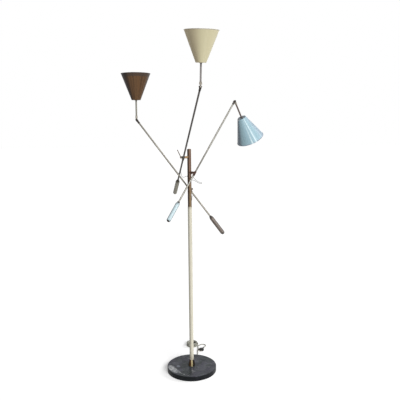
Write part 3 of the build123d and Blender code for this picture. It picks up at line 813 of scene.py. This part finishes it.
# %% Brass
def brass(name, bright, film, dark, tarnish, streak_frame=None, per_turn=3.0, per_metre=5.0, roughness=0.34,
          bare=0.35, front=None):
    """Streaked along a frame's Z where one is given; where a front azimuth is given, painted shade darkens
    both sides beside it.
    """
    metal = Finish(name, Specular_IOR_Level=0.22)
    place = metal.place
    if streak_frame is not None:
        x, y, z = own_axes(metal, streak_frame)
        streaks = noise(around(x, y, z, per_turn, per_metre), 1.0, 3, 0.55)
        brushed = noise(around(x, y, z, 40, 3), 1.0, 3, 0.6)
    else:
        streaks = noise(place, 70, 4, 0.62, 0.4)
        brushed = noise(place, 500, 3, 0.6)
    spots = noise(place, 190, 4, 0.65)
    covered = between(streaks, 0.62 - tarnish * 0.4, 0.80 - tarnish * 0.4)
    colour = mix(covered, bright, film)
    if front is not None:
        # painted shade: dark strips down both sides, as seen from the front
        colour = mix(beside(x, y, front, 35, 75), colour, dark)
    spotted = 0.08 if streak_frame else 0.15 + tarnish * 0.3
    colour = mix(between(spots, 0.54, 0.7) * spotted, colour, dark)
    colour = mix(between(brushed, 0.42, 0.66) * 0.15, colour, bright)
    rough = roughness + covered * 0.12 + between(spots, 0.5, 0.7) * 0.1
    metallic = (1 - covered * 0.6) * bare
    marks = relief(brushed * 0.5 + spots * 0.5, HAIR_MARKS)
    return metal.wears(Base_Color=colour, Roughness=rough, Metallic=metallic, Normal=marks).material


# %% Brass of the stem and brackets
SOOT = (0.022, 0.015, 0.011)
GOLDEN = (0.30, 0.19, 0.095), (0.13, 0.078, 0.042)
# deep chestnut, partly painted shade, for the middle bracket, lever and clamp
SHADED_CHESTNUT = (0.085, 0.036, 0.020), (0.040, 0.018, 0.011)
UMBER = (0.15, 0.115, 0.085), (0.075, 0.055, 0.042)


def stem_finish():
    """Painted shade darkens the left and, more weakly, the right; the brass is pinkish at the top and more
    golden lower down.
    """
    metal = Finish("stem_brass", Specular_IOR_Level=0.2)
    x, y, z = metal.coordinates()
    streaks = noise(around(x, y, z, 2.2, 5), 1.0, 3, 0.55)
    spots = noise(metal.place, 190, 4, 0.65)
    lower = between(z, 1.10, 1.27, 1.0, 0.0)
    light = mix(lower, (0.29, 0.185, 0.135), (0.27, 0.19, 0.105))
    deep = mix(lower, (0.165, 0.098, 0.068), (0.13, 0.083, 0.040))
    covered = between(streaks, 0.42, 0.60)
    colour = mix(covered, light, deep)
    # painted shade: a dark strip down the right edge, and a nearly black one down the left
    colour = mix(facing(x, y, RIGHT, 30, 62) * 0.45, colour, (0.075, 0.045, 0.025))
    colour = mix(facing(x, y, LEFT, 60, 88) * 0.92, colour, (0.034, 0.018, 0.010))
    colour = mix(between(spots, 0.56, 0.7) * 0.25, colour, SOOT)
    marks = relief(streaks * 0.6 + spots * 0.4, HAIR_MARKS)
    return metal.wears(Base_Color=colour, Roughness=0.34 + spots * 0.1, Metallic=0.25 - covered * 0.15,
                       Normal=marks).material


def bracket_finish():
    """The three brackets are one solid, and each has tarnished in its own way; the middle one's deep chestnut
    is partly painted shade.
    """
    metal = Finish("bracket_brass", Specular_IOR_Level=0.22)
    z = metal.add("SeparateXYZ", {}, {0: metal.place}, 2)
    worn = between(noise(metal.place, 120, 4, 0.62, 0.4), 0.40, 0.62)
    colour = mix(worn, UMBER[0], UMBER[1])
    # Heights halfway between two brackets, and the tones above each
    for height, (light, deep) in ((1.19, SHADED_CHESTNUT), (1.28, GOLDEN)):
        colour = mix(between(z, height - 0.005, height + 0.005), colour, mix(worn, light, deep))
    return metal.wears(Base_Color=colour, Roughness=0.34 + worn * 0.14, Metallic=0.3 - worn * 0.15,
                       Normal=relief(worn, HAIR_MARKS)).material


stem_brass, bracket_brass = stem_finish(), bracket_finish()
print("stem and brackets", stem_brass.name, bracket_brass.name)

# %% Brass of the levers, arms and fittings
lever_brass = {
    "upper": brass("lever_brass_upper", (0.17, 0.135, 0.10), (0.085, 0.065, 0.048), SOOT, 0.4, bare=0.25),
    "middle": brass("lever_brass_middle", *SHADED_CHESTNUT, SOOT, 0.5, bare=0.2),
    "lower": brass("lever_brass_lower", *UMBER, SOOT, 0.4, bare=0.25),
}
BLACKENED = (0.055, 0.046, 0.038), (0.022, 0.018, 0.015), (0.008, 0.007, 0.006)
BARE_PIN = (0.36, 0.32, 0.25), (0.22, 0.19, 0.15), (0.08, 0.07, 0.05)
dark_brass = brass("dark_brass", *BLACKENED, 0.55, bare=0.2)
wedge_brass = brass("wedge_brass", (0.34, 0.31, 0.26), (0.20, 0.18, 0.15), SOOT, 0.3, bare=0.3)
pin_brass = brass("pin_brass", *BARE_PIN, 0.2, roughness=0.3, bare=0.6)
# Bright metal and film of each arm, then of its shade's rod; the upper arm's much darker tones are painted
# shade
TUBE_COLOURS = {
    "upper": ((0.105, 0.096, 0.088), (0.055, 0.050, 0.047), (0.26, 0.24, 0.23), (0.13, 0.12, 0.115)),
    "middle": ((0.27, 0.26, 0.225), (0.17, 0.16, 0.14), (0.15, 0.115, 0.10), (0.085, 0.066, 0.060)),
    "lower": ((0.24, 0.225, 0.19), (0.13, 0.12, 0.10), (0.25, 0.24, 0.20), (0.13, 0.125, 0.105)),
}
# The azimuth of each arm's front in its own frame, beside which painted shade darkens the arm
ARM_FRONT = {"upper": 69, "middle": -37, "lower": -162}
# Colour of the painted shade down the arms' sides, also used for their dark spots
ARM_EDGE = (0.07, 0.065, 0.06)
arm_brass, rod_brass = {}, {}
for name, (arm_bright, arm_film, rod_bright, rod_film) in TUBE_COLOURS.items():
    arm_brass[name] = brass(f"arm_brass_{name}", arm_bright, arm_film, ARM_EDGE, 0.3, ARM_FRAMES[name],
                            per_turn=1.6, roughness=0.36, front=ARM_FRONT[name])
    rod_brass[name] = brass(f"rod_brass_{name}", rod_bright, rod_film, SOOT, 0.3, HEAD_FRAMES[name],
                            per_turn=1.6, per_metre=6)


def ferrule():
    """Polished lacquer over dark brass: nearly black, partly as painted shade, with a painted golden
    highlight down its front.
    """
    metal = Finish("ferrule_brass", Specular_IOR_Level=0.15, Coat_Weight=0.05, Coat_Roughness=0.1)
    x, y, z = metal.coordinates()
    cloud = noise(around(x, y, z, 2, 14), 1.0, 4, 0.6)
    colour = mix(between(cloud, 0.35, 0.65), (0.024, 0.013, 0.007), (0.009, 0.006, 0.004))
    # painted highlight: a dim brown gleam beside the golden highlight below
    colour = mix(facing(x, y, -122, 8, 22) * 0.7, colour, (0.13, 0.065, 0.024))
    painted_highlight = facing(x, y, -86, 5, 17)
    colour = mix(painted_highlight * between(cloud, 0.75, 0.35, 0.7, 1.0), colour, (0.60, 0.50, 0.27))
    return metal.wears(Base_Color=colour, Roughness=0.26 + cloud * 0.1, Metallic=painted_highlight * 0.4,
                       Normal=relief(cloud, HAIR_MARKS)).material


clamp_brass = {"upper": arm_brass["upper"], "middle": lever_brass["middle"], "lower": lever_brass["lower"]}
print("brass finishes for", len(arm_brass), "arms,", len(rod_brass), "rods and their fittings")

# %% [markdown]
# Each shade is one thin spun cone, enamelled in its own colour outside and white inside. Both sides
# belong to one solid, so the finish tells them apart by distance from the cone's axis. The outsides
# have aged in different ways: the cream one is even, the blue one is streaked and chipped at its
# small end, and the brown one has rusted in bands along the cone, with a greyer band at the rim.
# Painted shade darkens one side of each cone, and the blue one's other side too. The blue one has
# two painted highlights as pale lines along it, and the brown one a grey painted highlight.

# %% Shade shape in its own frame
SHADE_LOW, SHADE_HIGH, SHADE_SMALL_R, SHADE_RIM_R = 0.117, 0.2722, 0.0275, 0.0873
DISC_EDGE = 0.0015
SLOPE = (SHADE_RIM_R - SHADE_SMALL_R) / (SHADE_HIGH - SHADE_LOW - DISC_EDGE)
SPUN_LINES = 160


def outside_of(finish, radius, z):
    """1 on the cone's outside and on its small end's disc, 0 on its inside."""
    outer = SHADE_SMALL_R + (z - SHADE_LOW - DISC_EDGE) * SLOPE
    cone = between(radius - outer, -0.0009, -0.0005)
    disc = between(z, SHADE_LOW + 0.0005, SHADE_LOW + 0.0008, 1.0, 0.0)
    return finish.add("Math", {"operation": "MAXIMUM"}, {0: cone, 1: disc}), disc


def shade_finish(name, place, coat_colours, rim_colour, streak_depth, specular, roughness):
    """The common finish, and the values that each shade adds its own marks with."""
    light, usual, deep = coat_colours
    paint = Finish(f"{name}_enamel", Specular_IOR_Level=specular, Coat_Roughness=0.12)
    x, y, z = own_axes(paint, place)
    outside, end_disc = outside_of(paint, (x * x + y * y) ** 0.5, z)
    height = (z - SHADE_LOW) / (SHADE_HIGH - SHADE_LOW)
    wide = noise(around(x, y, z, 1.3, 1.5), 1.0, 3, 0.5)
    fine = noise(around(x, y, z, 9, 3), 1.0, 4, 0.65)
    mottle = between(noise(paint.place, 140, 4, 0.7), 0.56, 0.74)
    worn = worn_spots(paint.place, 90, 0.08, 0.13, noise(paint.place, 40, 2), 0.60, 0.66)
    colour = mix(between(wide, 0.36, 0.66), light, usual)
    colour = mix(between(fine, 0.46, 0.68) * streak_depth, colour, deep)
    colour = mix(mottle * streak_depth * 0.5, colour, deep)
    colour = mix(between(height, 0.975, 0.99) * 0.8, colour, rim_colour)
    colour = mix(between(height, 0.0, 0.035, 1.0, 0.0) * between(fine, 0.3, 0.6) * 0.35, colour, deep)
    colour = mix(worn * 0.7, colour, rim_colour)
    rough = roughness + between(fine, 0.35, 0.7) * 0.12 + worn * 0.2
    spun = paint.add("TexWave", {"bands_direction": "Z"}, {"Vector": along_axis(z), "Scale": SPUN_LINES})
    skin = spun * 0.2 + noise(paint.place, 600, 2) - worn * 2.0 + fine * streak_depth
    marks = {"x": x, "y": y, "z": z, "height": height, "fine": fine, "outside": outside, "end_disc": end_disc}
    return paint, colour, rough, skin, marks


def with_white_inside(paint, colour, marks):
    """White enamel inside the cone, yellower near the bulb."""
    white = mix(between(noise(paint.place, 25, 3), 0.35, 0.7), (0.80, 0.79, 0.74), (0.72, 0.69, 0.60))
    heat = between(marks["z"], SHADE_LOW, SHADE_LOW + 0.09, 1.0, 0.0)
    white = mix(heat * 0.5, white, (0.50, 0.44, 0.33))
    return mix(marks["outside"], white, colour)


# %% Cream shade
def cream_shade():
    tones = (0.64, 0.59, 0.40), (0.60, 0.55, 0.36), (0.45, 0.37, 0.23)
    rim, shaded = (0.50, 0.47, 0.42), (0.36, 0.27, 0.17)
    finish = shade_finish("cream", HEAD_FRAMES["upper"], tones, rim,
                          streak_depth=0.10, specular=0.2, roughness=0.42)
    paint, colour, rough, skin, marks = finish
    # painted shade down one side of the cone
    colour = mix(facing(marks["x"], marks["y"], 0, 10, 80) * 0.55, colour, shaded)
    colour = with_white_inside(paint, colour, marks)
    return paint.wears(Base_Color=colour, Roughness=rough, Normal=relief(skin, HAIR_MARKS)).material


# %% Blue shade
# Azimuth, half width and strength of each painted highlight, a pale line along the cone
BLUE_HIGHLIGHTS = [(39, 4.2, 0.95), (22, 3.8, 0.85)]


def blue_shade():
    tones = (0.36, 0.53, 0.61), (0.31, 0.46, 0.52), (0.28, 0.41, 0.49)
    rim, left_shadow, right_shadow = (0.27, 0.30, 0.38), (0.10, 0.115, 0.15), (0.24, 0.27, 0.36)
    finish = shade_finish("blue", HEAD_FRAMES["middle"], tones, rim,
                          streak_depth=0.16, specular=0.25, roughness=0.3)
    paint, colour, rough, skin, marks = finish
    x, y, height = marks["x"], marks["y"], marks["height"]
    # painted shade down both sides of the cone
    colour = mix(facing(x, y, 118, 8, 34) * 0.8, colour, left_shadow)
    colour = mix(facing(x, y, 320, 8, 40) * 0.45, colour, right_shadow)
    broken = between(marks["fine"], 0.30, 0.46)
    # painted highlights: pale lines along the cone
    for azimuth, width, strength in BLUE_HIGHLIGHTS:
        streak = facing(x, y, azimuth, width * 0.3, width) * strength * broken
        colour = mix(streak, colour, (0.66, 0.80, 0.84))
    colour = mix(marks["end_disc"] * 0.85, colour, (0.075, 0.10, 0.125))
    chip_height = between(height, 0.02, 0.045, 1.0, 0.0) * between(height, 0.004, 0.01)
    colour = mix(facing(x, y, 96, 9, 14) * chip_height, colour, (0.85, 0.86, 0.88))
    colour = with_white_inside(paint, colour, marks)
    thick_edge = between(height, 0.0, 0.012, 1.0, 0.0) * 0.2
    return paint.wears(Base_Color=colour, Roughness=rough, Coat_Weight=thick_edge,
                       Normal=relief(skin, HAIR_MARKS)).material


# %% Brown shade
def brown_shade():
    tones = (0.135, 0.074, 0.036), (0.105, 0.058, 0.030), (0.045, 0.026, 0.015)
    rim, rust_brown, rim_band = (0.055, 0.046, 0.042), (0.15, 0.072, 0.028), (0.060, 0.046, 0.038)
    left_shadow, right_gleam = (0.012, 0.009, 0.009), (0.085, 0.075, 0.068)
    finish = shade_finish("brown", HEAD_FRAMES["lower"], tones, rim,
                          streak_depth=0.7, specular=0.12, roughness=0.4)
    paint, colour, rough, skin, marks = finish
    x, y, z = marks["x"], marks["y"], marks["z"]
    rust = between(noise(around(x, y, z, 5, 7), 1.0, 5, 0.7, 0.5), 0.5, 0.68)
    colour = mix(rust * 0.5, colour, rust_brown)
    colour = mix(between(marks["height"], 0.86, 0.885) * 0.75, colour, rim_band)
    # painted shade down the left of the cone, and a painted highlight as a grey strip down its right
    colour = mix(facing(x, y, 132, 10, 42) * 0.85, colour, left_shadow)
    colour = mix(facing(x, y, 286, 8, 30) * 0.7, colour, right_gleam)
    colour = with_white_inside(paint, colour, marks)
    rough = rough + rust * 0.15
    return paint.wears(Base_Color=colour, Roughness=rough, Normal=relief(skin, BRUSH_MARKS)).material


print("shade slope", round(SLOPE, 3))

# %% [markdown]
# The counterweights are bars painted to match the shades. They hang low and get knocked, so their
# paint is streaked lengthwise, thin at the turned edges, and dirty next to the collars. Seen from the
# front, such a glossy bar has a bright middle between two dark edges; these dark edges are painted shade.

# %% Painted weights
WEIGHT_LOW, WEIGHT_HIGH = -0.323, -0.205
# Light, usual and deep tones, and the dark tone of the ends and chips, also used as painted shade down the
# sides
CREAM_WEIGHT = (0.34, 0.32, 0.26), (0.27, 0.255, 0.205), (0.18, 0.165, 0.135), (0.09, 0.082, 0.068)
BLUE_WEIGHT = (0.60, 0.72, 0.75), (0.47, 0.59, 0.63), (0.30, 0.40, 0.44), (0.12, 0.15, 0.17)
BROWN_WEIGHT = (0.21, 0.172, 0.146), (0.115, 0.09, 0.075), (0.055, 0.042, 0.035), (0.03, 0.025, 0.022)


def weight_finish(name, place, front, light, usual, deep, edge):
    paint = Finish(f"{name}_weight_paint", Specular_IOR_Level=0.25, Coat_Weight=0.05, Coat_Roughness=0.15)
    x, y, z = own_axes(paint, place)
    low, high = WEIGHT_LOW, WEIGHT_HIGH
    streaks = noise(around(x, y, z, 2.6, 6), 1.0, 4, 0.6)
    fine = noise(around(x, y, z, 12, 4), 1.0, 4, 0.7)
    colour = mix(between(streaks, 0.36, 0.64), light, usual)
    colour = mix(between(fine, 0.5, 0.7) * 0.5, colour, deep)
    ends = between(z, low, low + 0.010, 1.0, 0.0) + between(z, high - 0.016, high - 0.004)
    colour = mix(ends * between(fine, 0.3, 0.6) * 0.8, colour, edge)
    # painted shade: dark strips down both sides, as seen from the front
    colour = mix(beside(x, y, front, 36, 70) * 0.85, colour, edge)
    chips = worn_spots(paint.place, 170, 0.1, 0.17, noise(paint.place, 60, 2), 0.56, 0.64)
    colour = mix(chips, colour, edge)
    rough = 0.32 + between(fine, 0.35, 0.7) * 0.15
    skin = noise(paint.place, 500, 2) + fine * 0.4 - chips * 2.0
    return paint.wears(Base_Color=colour, Roughness=rough, Normal=relief(skin, BRUSH_MARKS)).material


weights = {
    "upper": weight_finish("cream", ARM_FRAMES["upper"], ARM_FRONT["upper"], *CREAM_WEIGHT),
    "middle": weight_finish("blue", ARM_FRAMES["middle"], ARM_FRONT["middle"], *BLUE_WEIGHT),
    "lower": weight_finish("brown", ARM_FRAMES["lower"], ARM_FRONT["lower"], *BROWN_WEIGHT),
}
print("weights", len(weights))

# %% [markdown]
# The last finishes are small ones: felt under the foot, zinc-plated nuts, moulded plastic, the pressed
# fibre of the friction washers, the rubber of the mains lead, the thin wires' sheath, and the opal
# glass of the bulbs with its threaded metal cap. Each has its own grain at its own scale.

# %% Felt, steel, plastic, fibre and rubber
NAP, PITS, THREAD = 0.0004, 0.00006, 0.0008


def felt():
    cloth = Finish("pressed_felt", Specular_IOR_Level=0.1, Sheen_Weight=0.4, Sheen_Roughness=0.6)
    hair = noise(stretched(cloth.place, 900, 900, 300), 1.0, 4, 0.75, 0.8)
    colour = mix(between(hair, 0.35, 0.7), (0.028, 0.036, 0.030), (0.075, 0.088, 0.075))
    nap = relief(hair, NAP)
    return cloth.wears(Base_Color=colour, Roughness=0.8 + hair * 0.2, Normal=nap).material


def steel():
    metal = Finish("plated_steel", Metallic=1.0)
    spangle = cells(metal.place, 420)
    colour = mix(between(spangle, 0.2, 0.7), (0.44, 0.45, 0.46), (0.58, 0.58, 0.57))
    rust = between(noise(metal.place, 130, 4, 0.7), 0.58, 0.7)
    colour = mix(rust * 0.6, colour, (0.22, 0.11, 0.05))
    crystals = relief(spangle, FINE_MARKS)
    return metal.wears(Base_Color=colour, Roughness=0.3 + rust * 0.4, Normal=crystals).material


def plastic():
    moulded = Finish("black_plastic", Specular_IOR_Level=0.4)
    pits = noise(moulded.place, 1400, 2, 0.6)
    dust = between(noise(moulded.place, 110, 4, 0.65), 0.52, 0.75)
    colour = mix(dust * 0.5, (0.016, 0.017, 0.018), (0.055, 0.055, 0.054))
    pitted = relief(pits, PITS)
    return moulded.wears(Base_Color=colour, Roughness=0.36 + dust * 0.22, Normal=pitted).material


def fibre():
    board = Finish("red_fibre", Specular_IOR_Level=0.2)
    flecks = noise(stretched(board.place, 600, 600, 1500), 1.0, 4, 0.7)
    colour = mix(between(flecks, 0.35, 0.68), (0.14, 0.05, 0.032), (0.27, 0.12, 0.07))
    pressed = relief(flecks, COARSE_MARKS)
    return board.wears(Base_Color=colour, Roughness=0.6 + flecks * 0.2, Normal=pressed).material


def rubber():
    sheath = Finish("lead_rubber", Specular_IOR_Level=0.35)
    cloudy = noise(sheath.place, 55, 4, 0.6)
    dust = between(noise(sheath.place, 900, 3, 0.7), 0.5, 0.72)
    colour = mix(between(cloudy, 0.36, 0.66), (0.25, 0.25, 0.20), (0.34, 0.335, 0.30))
    colour = mix(dust * 0.35, colour, (0.45, 0.44, 0.42))
    skin = relief(dust + cloudy, COARSE_MARKS)
    return sheath.wears(Base_Color=colour, Roughness=0.5 + dust * 0.15, Normal=skin).material


def wire_sheath():
    sheath = Finish("wire_sheath", Specular_IOR_Level=0.35)
    cloudy = noise(sheath.place, 120, 4, 0.6)
    colour = mix(between(cloudy, 0.36, 0.68), (0.15, 0.15, 0.13), (0.10, 0.098, 0.085))
    skin = relief(cloudy, COARSE_MARKS)
    return sheath.wears(Base_Color=colour, Roughness=0.42 + cloudy * 0.15, Normal=skin).material


# %% Bulbs and lampholders
def bulb_finish(name, place):
    glass = Finish(f"opal_glass_{name}", Specular_IOR_Level=0.5)
    x, y, z = own_axes(glass, place)
    cap = between(z, 0.1705, 0.1712, 1.0, 0.0)
    cloud = noise(glass.place, 60, 3)
    colour = mix(between(cloud, 0.35, 0.65), (0.86, 0.86, 0.84), (0.80, 0.79, 0.76))
    brushed = noise(around(x, y, z, 3, 300), 1.0, 3)
    metal = mix(between(brushed, 0.4, 0.65), (0.66, 0.62, 0.52), (0.42, 0.38, 0.30))
    thread = glass.add("TexWave", {"bands_direction": "Z"}, {"Vector": along_axis(z), "Scale": 46.0})
    return glass.wears(Base_Color=mix(cap, colour, metal), Metallic=cap, Roughness=0.12 + cap * 0.2,
                       Normal=relief(thread * cap + cloud * 0.02, THREAD)).material


felt_cloth, plated, black, red_fibre = felt(), steel(), plastic(), fibre()
lead_rubber, sheath = rubber(), wire_sheath()
bulbs = {name: bulb_finish(name, HEAD_FRAMES[name]) for name in ARMS}
print("small finishes ready")

# %% Give every piece its finish
def wear(piece, material):
    piece.data.materials.clear()
    piece.data.materials.append(material)


shade_materials = {"upper": cream_shade(), "middle": blue_shade(), "lower": brown_shade()}
stand_finishes = {
    "base_slab": marble(), "base_felt": felt_cloth,
    "base_washer": plated, "base_nut": plated, "tie_rod": plated,
    "foot_ferrule": ferrule(), "stem_tube_lower": ivory(),
    "stem_tube_upper": stem_brass, "stem_cap": stem_brass, "arm_brackets": bracket_brass,
    "friction_washers": red_fibre, "stem_bushes": black, "stem_wire": sheath,
    "cord_gland": black, "plug_body": black, "plug_pins": pin_brass,
}
for node, material in stand_finishes.items():
    wear(NODES[node], material)
for name in ARMS:
    arm_finishes = {
        "lever": lever_brass[name], "arm_clamp": clamp_brass[name], "arm_tube": arm_brass[name],
        "counterweight": weights[name], "head_fork": dark_brass, "head_tongue": wedge_brass,
        "shade_rod": rod_brass[name], "shade": shade_materials[name],
        "lampholder": black, "bulb": bulbs[name],
    }
    for node, material in arm_finishes.items():
        wear(NODES[f"{node}_{name}"], material)
    for piece in (collars[name], end_nuts[name], screws[name]):
        wear(piece, dark_brass)
    wear(wires[name], sheath)
wear(lead, lead_rubber)
for piece in (plug_rings, plug_grip, gland_rings):
    wear(piece, black)

# %% [markdown]
# ## Floor and light
# The lamp was photographed on white with soft light from the right of the camera. Two broad distant
# lights give the same soft shading down the shades, and a dim white surround fills the rest. The floor
# and surround show as white to the camera and in reflections, and the floor still takes the shadow.

# %% Floor
maker = bmesh.new()
FLOOR_HALF = 30
bmesh.ops.create_grid(maker, x_segments=1, y_segments=1, size=FLOOR_HALF)
floor = object_from("floor", maker)
GROUND, GLOW = 0.88, 0.40
ground = Finish("pale_floor", Roughness=0.9, Specular_IOR_Level=0.0)
grain = noise(ground.place, 3, 2)
ground.wears(Base_Color=mix(grain * 0.1, (GROUND, GROUND, GROUND), (GROUND * 0.98,) * 3))
glow = ground.add("Emission", {}, {"Color": (1.0, 1.0, 1.0), "Strength": ground.seen() * GLOW}, "Emission")
both = ground.add("AddShader", {}, {0: Value(ground, ground.shader.outputs[0]), 1: glow})
ground.feed(ground.tree.nodes["Material Output"].inputs["Surface"], both)
wear(floor, ground.material)
print("floor", floor.dimensions[:2])

# %% Surround and lights
world = bpy.data.worlds.new("surround")
bpy.context.scene.world = world
world.use_nodes = True
surround = Graph(world.node_tree)
SURROUND = 0.18
white = surround.add("MapRange", {}, {0: surround.seen(), 3: SURROUND, 4: 1.0})
background = surround.tree.nodes["Background"]
surround.feed(background.inputs["Color"], (1.0, 1.0, 1.0))
surround.feed(background.inputs["Strength"], white)


def distant_light(name, azimuth, elevation, strength, spread):
    """A broad light from far away, by the direction that it comes from, all angles in degrees."""
    data = bpy.data.lights.new(name, "SUN")
    data.energy, data.angle = strength, radians(spread)
    lamp = bpy.data.objects.new(name, data)
    towards = radial(azimuth) * cos(radians(elevation)) + UP * sin(radians(elevation))
    lamp.rotation_euler = towards.to_track_quat("Z", "Y").to_euler()
    bpy.context.scene.collection.objects.link(lamp)
    return lamp


key = distant_light("key", azimuth=-62, elevation=26, strength=2.7, spread=28)
side = distant_light("side", azimuth=8, elevation=34, strength=1.1, spread=30)
for lamp in (key, side):
    print(lamp.name, "light of strength", round(lamp.data.energy, 1))

# %% [markdown]
# Last, the picture is set to show colours as they are.

# %% Colour view
bpy.context.scene.view_settings.view_transform = "Standard"
bpy.context.view_layer.update()
